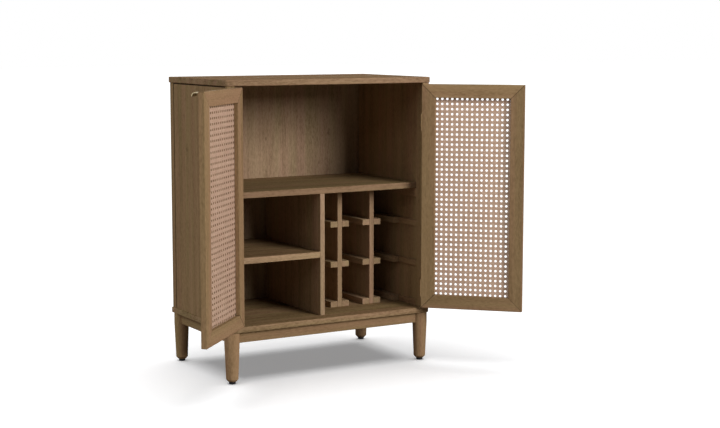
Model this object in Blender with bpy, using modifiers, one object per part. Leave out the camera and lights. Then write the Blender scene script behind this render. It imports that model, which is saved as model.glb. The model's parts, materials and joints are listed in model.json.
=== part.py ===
"""Bar cabinet on four turned legs, with two cane-panelled doors that stand open.

The carcass is a top and a base board with rounded front corners, two side panels, a thin
back, one full-width shelf, an off-centre divider, a half shelf in the left bay and a
bottle rack of nine places in the right bay. The doors are mitred frames that hold a
sheet of cane in a groove, hang on butt hinges and open with a bent brass lip at the top.
Metres, +Z up. X = 0 is the middle of the cabinet's width, Z = 0 is the floor, and
Y = 0 is the middle of the whole object's depth with the doors open.
"""
import math

import bmesh
import bpy
from mathutils import Matrix

# Overall cabinet
HEIGHT = 0.960
WIDTH = 0.755
DEPTH = 0.440
BOARD_THICK = 0.019
CORNER_RADIUS = 0.012
BASE_TOP = 0.184

# Clearances and edges shared by all pieces
FIT = 0.0003
EASE = 0.0008
OVERRUN = 0.002

# Side panels
SIDE_INSET = 0.0035
FRONT_INSET = 0.002
SIDE_THICK = 0.0215
FRONT_EDGE_STEP = 0.0065
FRONT_EDGE_DEPTH = 0.038
REAR_STRIP = 0.026
GROOVE_WIDTH = 0.003
GROOVE_DEPTH = 0.003
CLEAT_HEIGHT = 0.030

# Back and shelves
BACK_THICK = 0.006
SHELF_THICK = 0.020
SHELF_SETBACK = 0.043
SHELF_TOP = 0.606
HALF_SHELF_TOP = 0.396
DIVIDER_THICK = 0.0165

# Bottle rack
BOTTLE_SLOT = 0.108
UPRIGHT_THICK = 0.017
UPRIGHT_COUNT = 2
RACK_SETBACK = 0.147
LEDGE_WIDTH = 0.027
LEDGE_HEIGHT = 0.020
ROW_PITCH = 0.136
ROW_COUNT = 3

# Legs, glides and aprons
LEG_RADIUS = 0.0245
LEG_INSET = 0.0245
LEG_FOOT_RADIUS = 0.0195
LEG_CHAMFER_RADIUS = 0.0155
LEG_CHAMFER_HEIGHT = 0.006
GLIDE_HEIGHT = 0.008
GLIDE_RADIUS = 0.011
GLIDE_EASE = 0.0015
STEM_RADIUS = 0.004
STEM_LENGTH = 0.026
STEM_CLEARANCE = 0.00008
STEM_END_ROOM = 0.003
APRON_BOTTOM = 0.131
APRON_THICK = 0.018
APRON_INSET = 0.015
TURN_STEPS = 24

# Doors
DOOR_THICK = 0.018
DOOR_GAP = 0.0035
FRAME_WIDTH = 0.045
OPEN_ANGLE = math.radians(135)
HINGE_AXIS_OUT = 0.0043
HINGE_AXIS_SIDE = 0.0014
CANE_THICK = 0.002
CANE_SETBACK = 0.003
CANE_TONGUE = 0.005
MESH_PITCH = 0.033
MESH_HOLE_SHARE = 0.74

# Butt hinges
HINGE_HEIGHT = 0.060
HINGE_UPPER_DROP = 0.1275
HINGE_LOWER_RISE = 0.067
LEAF_THICK = 0.0024
MORTISE_LEAF_THICK = 0.0015
LEAF_SETBACK = 0.001
KNUCKLE_RADIUS = 0.0032
KNUCKLE_GAP = 0.0003
PIN_RADIUS = 0.0015
PIN_CLEARANCE = 0.00008
KNUCKLE_COUNT = 3
KNUCKLE_SIDES = 16

# Pulls
PULL_WIDTH = 0.040
PULL_OFFSET = 0.005
PULL_REACH = 0.026
PULL_DROP = 0.016
PULL_FLANGE = 0.012
PULL_THICK = 0.0018
PULL_BEND = 0.014

ARC_STEPS = 8
SIDES = {"left": -1, "right": 1}

# Colours (linear), roughness and metallic value of each kind of material
LOOKS = {
    "wood": ((0.274, 0.174, 0.097, 1.0), 0.55, 0.0),
    "cane": ((0.521, 0.342, 0.235, 1.0), 0.70, 0.0),
    "brass": ((0.600, 0.460, 0.240, 1.0), 0.35, 1.0),
    "black": ((0.012, 0.012, 0.012, 1.0), 0.50, 0.0),
}

# Places worked out from the sizes above
TOP_UNDER = HEIGHT - BOARD_THICK
BASE_UNDER = BASE_TOP - BOARD_THICK
SIDE_OUTER = WIDTH / 2 - SIDE_INSET
SIDE_INNER = SIDE_OUTER - SIDE_THICK
OPENING_HALF = SIDE_INNER - FRONT_EDGE_STEP
REAR_FACE = DEPTH - SIDE_INSET
BACK_FACE = REAR_FACE - BACK_THICK
INSIDE_REAR = BACK_FACE - FIT
DIVIDER_RIGHT = SIDE_INNER - (UPRIGHT_COUNT + 1) * BOTTLE_SLOT - UPRIGHT_COUNT * UPRIGHT_THICK
DIVIDER_LEFT = DIVIDER_RIGHT - DIVIDER_THICK
SHELF_UNDER = SHELF_TOP - SHELF_THICK
HALF_SHELF_UNDER = HALF_SHELF_TOP - SHELF_THICK
DOOR_HINGE_EDGE = OPENING_HALF - DOOR_GAP
DOOR_FREE_EDGE = DOOR_GAP / 2
DOOR_BOTTOM = BASE_TOP + DOOR_GAP
DOOR_TOP = TOP_UNDER - DOOR_GAP
DOOR_FACE = FRONT_INSET
DOOR_INSIDE = DOOR_FACE + DOOR_THICK
HINGE_X = DOOR_HINGE_EDGE + HINGE_AXIS_SIDE
HINGE_Y = DOOR_FACE - HINGE_AXIS_OUT


def open_door_front():
    """Lowest Y of an open door: its eased inside corner at the free edge."""
    reach = HINGE_X - DOOR_FREE_EDGE
    depth = DOOR_INSIDE - HINGE_Y
    corners = ((reach - EASE, depth), (reach, depth - EASE))
    lowest = min(math.cos(OPEN_ANGLE) * b - math.sin(OPEN_ANGLE) * a for a, b in corners)
    return HINGE_Y + lowest


FRONT_EDGE_Y = -(DEPTH + open_door_front()) / 2


def clear_scene():
    """Remove the objects of the file that the script runs in."""
    for item in list(bpy.data.objects):
        bpy.data.objects.remove(item, do_unlink=True)


def new_collection(name):
    """Make a collection in the scene."""
    group = bpy.data.collections.new(name)
    bpy.context.scene.collection.children.link(group)
    return group


def new_empty(name, place, parent=None):
    """An empty that carries pieces, placed relative to its parent."""
    empty = bpy.data.objects.new(name, None)
    empty.location = place
    empty.parent = parent
    PARTS.objects.link(empty)
    return empty


def give_material(piece, look):
    """Give a piece a Principled material of its own."""
    colour, roughness, metallic = LOOKS[look]
    paint = bpy.data.materials.new(piece.name)
    paint.use_nodes = True
    shader = paint.node_tree.nodes["Principled BSDF"]
    shader.inputs["Base Color"].default_value = colour
    shader.inputs["Roughness"].default_value = roughness
    shader.inputs["Metallic"].default_value = metallic
    paint.diffuse_color = colour
    piece.data.materials.clear()
    piece.data.materials.append(paint)


def place_piece(name, mesh, carrier, look=None):
    """Put a mesh, made in cabinet coordinates, on the empty that carries it.

    A piece without a look is a cutter: it stays out of the render.
    """
    piece = bpy.data.objects.new(name, mesh)
    piece.parent = carrier
    if carrier is not CABINET:
        mesh.transform(Matrix.Translation(-carrier.location))
    if look is None:
        piece.hide_render = True
        piece.display_type = "WIRE"
        CUTTERS.objects.link(piece)
    else:
        PARTS.objects.link(piece)
        give_material(piece, look)
    return piece


def box_mesh(name, low, high):
    """A box between two corners."""
    work = bmesh.new()
    bmesh.ops.create_cube(work, size=1.0)
    size = [b - a for a, b in zip(low, high)]
    middle = [(a + b) / 2 for a, b in zip(low, high)]
    bmesh.ops.scale(work, vec=size, verts=work.verts)
    bmesh.ops.translate(work, vec=middle, verts=work.verts)
    mesh = bpy.data.meshes.new(name)
    work.to_mesh(mesh)
    work.free()
    return mesh


def span_box(name, xs, ys, zs):
    """A box mesh from three spans; either end of a span may come first."""
    spans = [sorted(span) for span in (xs, ys, zs)]
    return box_mesh(name, [span[0] for span in spans], [span[1] for span in spans])


def rod_mesh(name, radius, place, low, high, sides=KNUCKLE_SIDES):
    """An upright round rod at (x, y) from one height to another."""
    work = bmesh.new()
    bmesh.ops.create_cone(
        work, cap_ends=True, segments=sides, radius1=radius, radius2=radius, depth=high - low
    )
    bmesh.ops.translate(work, vec=(place[0], place[1], (low + high) / 2), verts=work.verts)
    mesh = bpy.data.meshes.new(name)
    work.to_mesh(mesh)
    work.free()
    return mesh


def outline_mesh(name, outlines, low, high, turn=None):
    """Extrude flat outlines (the first the border, the rest holes) from low to high.

    The outline lies in XY and is extruded along Z, and turn maps that onto its plane.
    """
    curve = bpy.data.curves.new(name, "CURVE")
    curve.dimensions = "2D"
    curve.fill_mode = "BOTH"
    curve.extrude = (high - low) / 2
    for outline in outlines:
        spline = curve.splines.new("POLY")
        spline.points.add(len(outline) - 1)
        for point, (u, v) in zip(spline.points, outline):
            point.co = (u, v, 0, 1)
        spline.use_cyclic_u = True
    holder = bpy.data.objects.new(name, curve)
    bpy.context.scene.collection.objects.link(holder)
    bpy.context.view_layer.update()
    evaluated = holder.evaluated_get(bpy.context.evaluated_depsgraph_get())
    mesh = bpy.data.meshes.new_from_object(evaluated)
    bpy.data.objects.remove(holder, do_unlink=True)
    bpy.data.curves.remove(curve)
    mesh.name = name
    work = bmesh.new()
    work.from_mesh(mesh)
    bmesh.ops.remove_doubles(work, verts=work.verts, dist=FIT / 10)
    bmesh.ops.translate(work, vec=(0, 0, (low + high) / 2), verts=work.verts)
    if turn is not None:
        bmesh.ops.transform(work, matrix=turn, verts=work.verts)
    bmesh.ops.dissolve_limit(
        work, angle_limit=math.radians(1), verts=work.verts, edges=work.edges
    )
    bmesh.ops.recalc_face_normals(work, faces=work.faces)
    work.to_mesh(mesh)
    work.free()
    return mesh


# The plane of a door: (x, z) outlines extruded along Y, from the inside to the front
TO_XZ = Matrix(((1, 0, 0, 0), (0, 0, -1, 0), (0, 1, 0, 0), (0, 0, 0, 1)))
# The section of a pull: (y, z) outlines extruded along X
TO_YZ = Matrix(((0, 0, 1, 0), (1, 0, 0, 0), (0, 1, 0, 0), (0, 0, 0, 1)))


def arc(centre, radius, start, end, steps=ARC_STEPS):
    """Points of an arc, both ends included; the angles are in quarter turns."""
    points = []
    for step in range(steps + 1):
        angle = math.pi / 2 * (start + (end - start) * step / steps)
        points.append((centre[0] + radius * math.cos(angle), centre[1] + radius * math.sin(angle)))
    return points


def ease_edges(piece, width=EASE):
    """A small flat bevel on every sharp edge."""
    bevel = piece.modifiers.new("eased edges", "BEVEL")
    bevel.width = width
    bevel.segments = 1
    bevel.limit_method = "ANGLE"
    bevel.angle_limit = math.radians(40)


def combine(piece, tool, operation="DIFFERENCE"):
    """Cut a tool out of a piece, or join it on."""
    step = piece.modifiers.new(tool.name, "BOOLEAN")
    step.operation = operation
    step.solver = "EXACT"
    step.object = tool


def add_box(name, xs, ys, zs, look="wood", carrier=None):
    """A board with eased edges."""
    carrier = carrier or CABINET
    piece = place_piece(name, span_box(name, xs, ys, zs), carrier, look)
    ease_edges(piece)
    return piece


def turned_piece(name, profile, place, look):
    """A turned piece: a profile of (radius, height) points swept by a Screw modifier."""
    mesh = bpy.data.meshes.new(name)
    points = [(radius, 0, height) for radius, height in profile]
    edges = [(index, index + 1) for index in range(len(points) - 1)]
    mesh.from_pydata(points, edges, [])
    piece = bpy.data.objects.new(name, mesh)
    piece.parent = CABINET
    piece.location = place
    PARTS.objects.link(piece)
    sweep = piece.modifiers.new("turned", "SCREW")
    sweep.steps = TURN_STEPS
    sweep.render_steps = TURN_STEPS
    sweep.use_merge_vertices = True
    sweep.merge_threshold = 0.00005
    sweep.use_smooth_shade = True
    give_material(piece, look)
    return piece


def board_outline():
    """The top's and the base board's outline: rounded front corners, square rear ones."""
    half = WIDTH / 2
    inner = half - CORNER_RADIUS
    outline = arc((-inner, CORNER_RADIUS), CORNER_RADIUS, 2, 3)
    outline += arc((inner, CORNER_RADIUS), CORNER_RADIUS, 3, 4)
    outline += [(half, DEPTH), (-half, DEPTH)]
    return outline


def add_boards():
    """The top and the base board."""
    for name, low, high in (("top", TOP_UNDER, HEIGHT), ("base_board", BASE_UNDER, BASE_TOP)):
        piece = place_piece(name, outline_mesh(name, [board_outline()], low, high), CABINET, "wood")
        ease_edges(piece)


def side_outline():
    """Section of the right side panel, seen from above.

    Its front edge is thicker than the panel and rounded outside, and a groove outside
    marks off the strip at the rear.
    """
    radius = CORNER_RADIUS - SIDE_INSET
    strip = REAR_FACE - REAR_STRIP
    step = FRONT_INSET + FRONT_EDGE_DEPTH
    outline = [(OPENING_HALF, FRONT_INSET)]
    outline += arc((SIDE_OUTER - radius, FRONT_INSET + radius), radius, 3, 4)
    outline += [
        (SIDE_OUTER, strip - GROOVE_WIDTH),
        (SIDE_OUTER - GROOVE_DEPTH, strip - GROOVE_WIDTH),
        (SIDE_OUTER - GROOVE_DEPTH, strip),
        (SIDE_OUTER, strip),
        (SIDE_OUTER, REAR_FACE),
        (SIDE_INNER, REAR_FACE),
        (SIDE_INNER, step),
        (OPENING_HALF, step),
    ]
    return outline


def row_bottom(row):
    """Height of the underside of a row of ledges, the lowest row being row 0."""
    return BASE_TOP + row * ROW_PITCH


def cleat_spans(side):
    """Heights of the cleats on the inside of a side panel.

    Both sides carry the shelf on one. The left one carries the half shelf, and the right
    one has one behind each row of ledges.
    """
    spans = [(SHELF_UNDER - CLEAT_HEIGHT, SHELF_UNDER - FIT)]
    if side == "left":
        spans.append((HALF_SHELF_UNDER - CLEAT_HEIGHT, HALF_SHELF_UNDER - FIT))
    else:
        for row in range(ROW_COUNT):
            bottom = row_bottom(row)
            spans.append((max(bottom, BASE_TOP + FIT), bottom + LEDGE_HEIGHT))
    return spans


def add_side(side):
    """A side panel with its cleats and the two mortises for the hinges' frame leaves."""
    sign = SIDES[side]
    name = f"{side}_side"
    outline = [(sign * x, y) for x, y in side_outline()]
    mesh = outline_mesh(name, [outline], BASE_TOP + FIT, TOP_UNDER - FIT)
    piece = place_piece(name, mesh, CABINET, "wood")
    ease_edges(piece)
    for number, (low, high) in enumerate(cleat_spans(side)):
        tool = f"{side}_cleat_{number}"
        xs = (sign * OPENING_HALF, sign * (SIDE_INNER + OVERRUN))
        ys = (FRONT_INSET + FRONT_EDGE_DEPTH - OVERRUN, INSIDE_REAR)
        combine(piece, place_piece(tool, span_box(tool, xs, ys, (low, high)), CABINET), "UNION")
    for level, height in hinge_levels().items():
        tool = f"{side}_{level}_mortise"
        xs = (sign * (OPENING_HALF - OVERRUN), sign * (OPENING_HALF + MORTISE_LEAF_THICK + FIT))
        ys = (FRONT_INSET - OVERRUN, DOOR_INSIDE - LEAF_SETBACK + FIT)
        zs = (height - HINGE_HEIGHT / 2 - FIT, height + HINGE_HEIGHT / 2 + FIT)
        combine(piece, place_piece(tool, span_box(tool, xs, ys, zs), CABINET))


def add_inside():
    """The back, the shelves and the divider."""
    inner = SIDE_INNER - FIT
    inside = (SHELF_SETBACK, INSIDE_REAR)
    heights = (BASE_TOP + FIT, TOP_UNDER - FIT)
    add_box("back_panel", (-inner, inner), (BACK_FACE, REAR_FACE), heights)
    add_box("main_shelf", (-inner, inner), inside, (SHELF_UNDER, SHELF_TOP))
    heights = (BASE_TOP + FIT, SHELF_UNDER - FIT)
    add_box("divider", (DIVIDER_LEFT, DIVIDER_RIGHT), inside, heights)
    heights = (HALF_SHELF_UNDER, HALF_SHELF_TOP)
    add_box("half_shelf", (-inner, DIVIDER_LEFT - FIT), inside, heights)


def add_rack():
    """The bottle rack: uprights, and a ledge on each side of every bottle's place."""
    deep = (RACK_SETBACK, INSIDE_REAR)
    faces = {"divider": (None, DIVIDER_RIGHT)}
    left = DIVIDER_RIGHT + BOTTLE_SLOT
    for number in range(1, UPRIGHT_COUNT + 1):
        right = left + UPRIGHT_THICK
        name = f"rack_upright_{number}"
        add_box(name, (left, right), deep, (BASE_TOP + FIT, SHELF_UNDER - FIT))
        faces[f"upright_{number}"] = (left, right)
        left = right + BOTTLE_SLOT
    faces["wall"] = (OPENING_HALF, None)
    wall_ledge = LEDGE_WIDTH - FRONT_EDGE_STEP
    for row in range(ROW_COUNT):
        low = row_bottom(row) + FIT
        high = row_bottom(row) + LEDGE_HEIGHT
        for holder, (left, right) in faces.items():
            width = wall_ledge if holder == "wall" else LEDGE_WIDTH
            if left is not None:
                name = f"{holder}_ledge_l{row + 1}"
                add_box(name, (left - width, left - FIT), deep, (low, high))
            if right is not None:
                name = f"{holder}_ledge_r{row + 1}"
                add_box(name, (right + FIT, right + width), deep, (low, high))


def leg_places():
    """The axis of each leg."""
    side = WIDTH / 2 - LEG_INSET
    return {
        "front_left": (-side, LEG_INSET),
        "front_right": (side, LEG_INSET),
        "rear_left": (-side, DEPTH - LEG_INSET),
        "rear_right": (side, DEPTH - LEG_INSET),
    }


def add_legs():
    """Turned legs, each with a levelling glide whose stem slides in a bore."""
    bore = STEM_RADIUS + STEM_CLEARANCE
    bore_top = GLIDE_HEIGHT + STEM_LENGTH + STEM_END_ROOM
    leg = [
        (0, BASE_UNDER - FIT),
        (LEG_RADIUS - EASE, BASE_UNDER - FIT),
        (LEG_RADIUS, BASE_UNDER - FIT - EASE),
        (LEG_RADIUS, APRON_BOTTOM),
        (LEG_FOOT_RADIUS, GLIDE_HEIGHT + LEG_CHAMFER_HEIGHT),
        (LEG_CHAMFER_RADIUS, GLIDE_HEIGHT),
        (bore, GLIDE_HEIGHT),
        (bore, bore_top),
        (0, bore_top),
    ]
    disc_top = GLIDE_HEIGHT - FIT
    glide = [
        (0, GLIDE_HEIGHT + STEM_LENGTH),
        (STEM_RADIUS, GLIDE_HEIGHT + STEM_LENGTH),
        (STEM_RADIUS, disc_top),
        (GLIDE_RADIUS - GLIDE_EASE, disc_top),
        (GLIDE_RADIUS, disc_top - GLIDE_EASE),
        (GLIDE_RADIUS, GLIDE_EASE),
        (GLIDE_RADIUS - GLIDE_EASE, 0),
        (0, 0),
    ]
    for corner, (x, y) in leg_places().items():
        turned_piece(f"{corner}_leg", leg, (x, y, 0), "wood")
        turned_piece(f"{corner}_glide", glide, (x, y, 0), "black")


def add_aprons():
    """Rails under the base board, their ends cut round to meet the legs."""
    side = WIDTH / 2 - LEG_INSET
    across = (-side, side)
    along = (LEG_INSET, DEPTH - LEG_INSET)
    outer = WIDTH / 2 - APRON_INSET
    heights = (APRON_BOTTOM, BASE_UNDER - FIT)
    spans = {
        "front": (across, (APRON_INSET, APRON_INSET + APRON_THICK)),
        "rear": (across, (DEPTH - APRON_INSET - APRON_THICK, DEPTH - APRON_INSET)),
        "left": ((-outer, APRON_THICK - outer), along),
        "right": ((outer - APRON_THICK, outer), along),
    }
    cutters = {}
    for corner, place in leg_places().items():
        name = f"{corner}_leg_room"
        mesh = rod_mesh(
            name, LEG_RADIUS + FIT, place, APRON_BOTTOM - OVERRUN, BASE_UNDER + OVERRUN, TURN_STEPS
        )
        cutters[corner] = place_piece(name, mesh, CABINET)
    for name, (xs, ys) in spans.items():
        apron = add_box(f"{name}_apron", xs, ys, heights)
        for corner, cutter in cutters.items():
            if name in corner.split("_"):
                combine(apron, cutter)


def hinge_levels():
    """Height of the middle of each hinge."""
    return {"upper": DOOR_TOP - HINGE_UPPER_DROP, "lower": DOOR_BOTTOM + HINGE_LOWER_RISE}


def add_leaf(name, carrier, sign, plate_x, height, knuckles):
    """A hinge leaf: a plate, and for each of its knuckles a neck and an eye."""
    low = height - HINGE_HEIGHT / 2
    high = height + HINGE_HEIGHT / 2
    xs = [sign * x for x in plate_x]
    axis = (sign * HINGE_X, HINGE_Y)
    plate = span_box(name, xs, (DOOR_FACE, DOOR_INSIDE - LEAF_SETBACK), (low, high))
    leaf = place_piece(name, plate, carrier, "brass")
    share = HINGE_HEIGHT / KNUCKLE_COUNT
    for number in knuckles:
        bottom = low + number * share + (KNUCKLE_GAP / 2 if number else 0)
        top = low + (number + 1) * share - (KNUCKLE_GAP / 2 if number < KNUCKLE_COUNT - 1 else 0)
        neck = f"{name}_neck_{number}"
        ys = (HINGE_Y, DOOR_FACE + LEAF_SETBACK)
        combine(leaf, place_piece(neck, span_box(neck, xs, ys, (bottom, top)), carrier), "UNION")
        eye = f"{name}_eye_{number}"
        mesh = rod_mesh(eye, KNUCKLE_RADIUS, axis, bottom, top)
        combine(leaf, place_piece(eye, mesh, carrier), "UNION")
    return leaf


def add_hinge(side, level, height, door):
    """A butt hinge: the frame leaf holds the pin, the door leaf turns on it."""
    sign = SIDES[side]
    axis = (sign * HINGE_X, HINGE_Y)
    low = height - HINGE_HEIGHT / 2
    high = height + HINGE_HEIGHT / 2
    frame_x = (OPENING_HALF, OPENING_HALF + MORTISE_LEAF_THICK)
    outer_knuckles = range(0, KNUCKLE_COUNT, 2)
    leaf = add_leaf(f"{side}_{level}_frame_leaf", CABINET, sign, frame_x, height, outer_knuckles)
    pin = f"{side}_{level}_pin"
    mesh = rod_mesh(pin, PIN_RADIUS, axis, low + OVERRUN, high - OVERRUN)
    combine(leaf, place_piece(pin, mesh, CABINET), "UNION")
    door_x = (DOOR_HINGE_EDGE + FIT, DOOR_HINGE_EDGE + LEAF_THICK)
    inner_knuckles = range(1, KNUCKLE_COUNT, 2)
    leaf = add_leaf(f"{side}_{level}_door_leaf", door, sign, door_x, height, inner_knuckles)
    bore = f"{side}_{level}_bore"
    mesh = rod_mesh(bore, PIN_RADIUS + PIN_CLEARANCE, axis, low, high)
    combine(leaf, place_piece(bore, mesh, door))


def frame_outlines():
    """Outlines (x, z) of a right door's four mitred members, with a hairline at each mitre."""
    hair = FIT * math.sqrt(2) / 2
    hinge, free = DOOR_HINGE_EDGE, DOOR_FREE_EDGE
    low, high = DOOR_BOTTOM, DOOR_TOP
    width = FRAME_WIDTH
    return {
        "hinge_stile": [
            (hinge, low + hair),
            (hinge, high - hair),
            (hinge - width, high - width - hair),
            (hinge - width, low + width + hair),
        ],
        "free_stile": [
            (free, high - hair),
            (free, low + hair),
            (free + width, low + width + hair),
            (free + width, high - width - hair),
        ],
        "top_rail": [
            (hinge - hair, high),
            (free + hair, high),
            (free + width + hair, high - width),
            (hinge - width - hair, high - width),
        ],
        "bottom_rail": [
            (free + hair, low),
            (hinge - hair, low),
            (hinge - width - hair, low + width),
            (free + width + hair, low + width),
        ],
    }


def pull_outline():
    """Section (y, z) of a pull: a flange on the door's top edge, bent down into a lip."""
    outer = PULL_BEND
    inner = PULL_BEND - PULL_THICK
    front = DOOR_FACE - PULL_REACH
    centre = (front + outer, DOOR_TOP - outer)
    rear = DOOR_FACE + PULL_FLANGE
    outline = [(rear, DOOR_TOP - PULL_THICK), (rear, DOOR_TOP)]
    outline += arc(centre, outer, 1, 2)
    outline += [(front, DOOR_TOP - PULL_DROP), (front + PULL_THICK, DOOR_TOP - PULL_DROP)]
    outline += arc(centre, inner, 2, 1)
    return outline


def mesh_places(low, high):
    """Centres of a row of gaps that fills the span between two frame members."""
    count = round((high - low) / MESH_PITCH)
    pitch = (high - low) / count
    return [low + pitch * (number + 0.5) for number in range(count)]


def cane_outlines(sign):
    """Border and diamond gaps (x, z) of a cane sheet."""
    left, right = DOOR_FREE_EDGE + FRAME_WIDTH, DOOR_HINGE_EDGE - FRAME_WIDTH
    low, high = DOOR_BOTTOM + FRAME_WIDTH, DOOR_TOP - FRAME_WIDTH
    xs = (left - CANE_TONGUE, right + CANE_TONGUE)
    zs = (low - CANE_TONGUE, high + CANE_TONGUE)
    border = ((xs[0], zs[0]), (xs[1], zs[0]), (xs[1], zs[1]), (xs[0], zs[1]))
    outlines = [[(sign * x, z) for x, z in border]]
    columns = mesh_places(left, right)
    rows = mesh_places(low, high)
    half = MESH_HOLE_SHARE * min(columns[1] - columns[0], rows[1] - rows[0]) / 2
    for x in columns:
        for z in rows:
            diamond = ((x - half, z), (x, z + half), (x + half, z), (x, z - half))
            outlines.append([(sign * u, v) for u, v in diamond])
    return outlines


def cane_spans(sign, clearance=0.0):
    """The cane sheet's spans along X, Y and Z, grown by a clearance."""
    edge = FRAME_WIDTH - CANE_TONGUE - clearance
    near = DOOR_FACE + CANE_SETBACK - clearance
    return (
        (sign * (DOOR_FREE_EDGE + edge), sign * (DOOR_HINGE_EDGE - edge)),
        (near, near + CANE_THICK + 2 * clearance),
        (DOOR_BOTTOM + edge, DOOR_TOP - edge),
    )


def add_door(side):
    """A door on its hinge axis, modelled shut and turned open as photographed."""
    sign = SIDES[side]
    door = new_empty(f"{side}_door_hinge", (sign * HINGE_X, HINGE_Y, 0), CABINET)
    tool = f"{side}_cane_groove"
    groove = place_piece(tool, span_box(tool, *cane_spans(sign, FIT)), door)
    members = {}
    for member, outline in frame_outlines().items():
        name = f"{side}_door_{member}"
        flipped = [(sign * x, z) for x, z in outline]
        mesh = outline_mesh(name, [flipped], -DOOR_INSIDE, -DOOR_FACE, TO_XZ)
        members[member] = place_piece(name, mesh, door, "wood")
        ease_edges(members[member])
        combine(members[member], groove)
    near, far = cane_spans(sign)[1]
    name = f"{side}_door_cane"
    place_piece(name, outline_mesh(name, cane_outlines(sign), -far, -near, TO_XZ), door, "cane")

    pull_x = sorted(
        sign * x for x in (DOOR_FREE_EDGE + PULL_OFFSET, DOOR_FREE_EDGE + PULL_OFFSET + PULL_WIDTH)
    )
    name = f"{side}_door_pull"
    place_piece(name, outline_mesh(name, [pull_outline()], *pull_x, TO_YZ), door, "brass")
    tool = f"{side}_pull_recess"
    xs = (pull_x[0] - FIT, pull_x[1] + FIT)
    ys = (DOOR_FACE - OVERRUN, DOOR_FACE + PULL_FLANGE + FIT)
    zs = (DOOR_TOP - PULL_THICK - FIT, DOOR_TOP + OVERRUN)
    combine(members["top_rail"], place_piece(tool, span_box(tool, xs, ys, zs), door))

    for level, height in hinge_levels().items():
        add_hinge(side, level, height, door)
    door.rotation_euler.z = sign * OPEN_ANGLE


clear_scene()
PARTS = new_collection("bar_cabinet")
CUTTERS = new_collection("cutters")
CABINET = new_empty("cabinet", (0, FRONT_EDGE_Y, 0))
add_boards()
for name_of_side in SIDES:
    add_side(name_of_side)
add_inside()
add_rack()
add_legs()
add_aprons()
for name_of_side in SIDES:
    add_door(name_of_side)
bpy.context.view_layer.update()
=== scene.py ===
# %% [markdown]
# # A bar cabinet with cane doors
#
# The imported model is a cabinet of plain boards: carcass, doors, legs, hinges and glides,
# each on the body that it moves with. This script dresses it. Boards with a round edge,
# turned legs, brass and woven cane are made again as fine surfaces, the rest keep their
# solids, and all get wood, cane, brass or plastic made of shader nodes.

# %% Load the fixed frame
import json
import math

import bmesh
import bpy
import numpy as np
from mathutils import Matrix, Vector


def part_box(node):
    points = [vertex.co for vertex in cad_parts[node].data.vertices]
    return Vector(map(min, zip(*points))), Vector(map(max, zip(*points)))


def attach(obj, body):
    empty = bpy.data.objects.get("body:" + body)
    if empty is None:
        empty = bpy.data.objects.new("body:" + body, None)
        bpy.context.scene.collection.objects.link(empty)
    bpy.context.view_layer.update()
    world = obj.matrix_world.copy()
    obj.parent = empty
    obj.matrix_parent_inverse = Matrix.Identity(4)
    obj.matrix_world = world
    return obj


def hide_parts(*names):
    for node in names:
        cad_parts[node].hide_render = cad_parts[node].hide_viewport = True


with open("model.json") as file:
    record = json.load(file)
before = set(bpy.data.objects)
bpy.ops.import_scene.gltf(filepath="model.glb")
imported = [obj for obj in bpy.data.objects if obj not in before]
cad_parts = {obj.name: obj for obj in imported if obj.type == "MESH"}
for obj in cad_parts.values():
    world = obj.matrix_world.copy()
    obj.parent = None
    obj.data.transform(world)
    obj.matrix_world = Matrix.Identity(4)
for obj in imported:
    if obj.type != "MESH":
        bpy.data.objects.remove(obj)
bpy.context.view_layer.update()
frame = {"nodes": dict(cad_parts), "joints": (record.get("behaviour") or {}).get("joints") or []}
print("CAD nodes:", len(frame["nodes"]))

# %% [markdown]
# ## Where things are
#
# A node's box says where its solid lies, and a joint says where a door turns. The
# cabinet is centred on X = 0, so a sign tells its sides apart. Sizes that the boxes don't
# give, such as the radius of a corner, are those of the solids.

# %% Read the main places from the frame
SIDES = {"left": -1.0, "right": 1.0}
OPEN_ANGLE = math.radians(135)

top_low, top_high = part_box("top")
base_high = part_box("base_board")[1]
FRONT, REAR = top_low.y, top_high.y
HALF_WIDTH = top_high.x
CORNER_RADIUS = 0.012
hinges = [joint for joint in frame["joints"] if joint["type"] == "hinge"]
AXES = {joint["child"].split("_")[0]: tuple(joint["pos_m"][:2]) for joint in hinges}
print("door axes:", AXES)

# %% [markdown]
# ## Surfaces from arrays
#
# Each new piece is computed as an array of points and handed to Blender in one go. Two
# kinds of surface are enough. A slab is an outline carried through its thickness, with
# its edge rounded: that makes boards, hinge plates and the bent pull. A turned surface
# is a profile carried round an axis: that makes legs, glides, screw heads and barrels.
# Where a piece ends inside its neighbour it reaches LAP into it, so no gap can show.

# %% Hand a surface to Blender
SMOOTH_ANGLE = math.radians(40)


def new_object(name, data):
    """A new object in the scene that shows the data."""
    thing = bpy.data.objects.new(name, data)
    bpy.context.scene.collection.objects.link(thing)
    return thing


def new_piece(name, points, faces, body, material, stands_for=(), uv=None):
    """Make a mesh of points and faces, turn its faces outwards, and put it on a body.

    uv, where given, holds one pair for each corner of each face, in the faces' order.
    Without it, large flat faces keep their own normal beside a rounded edge.
    """
    mesh = bpy.data.meshes.new(name)
    mesh.from_pydata(np.asarray(points, float).reshape(-1, 3), [], faces)
    if uv is not None:
        layer = mesh.uv_layers.new(name="strand")
        layer.data.foreach_set("uv", np.asarray(uv, np.float32).ravel())
    work = bmesh.new()
    work.from_mesh(mesh)
    bmesh.ops.recalc_face_normals(work, faces=work.faces)
    work.to_mesh(mesh)
    work.free()
    mesh.shade_smooth()
    mesh.set_sharp_from_angle(angle=SMOOTH_ANGLE)
    mesh.materials.append(material)
    piece = new_object(name, mesh)
    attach(piece, body)
    if stands_for:
        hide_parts(*stands_for)
    if uv is None:
        piece.modifiers.new("flat faces stay flat", "WEIGHTED_NORMAL").keep_sharp = True
    return piece


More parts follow.
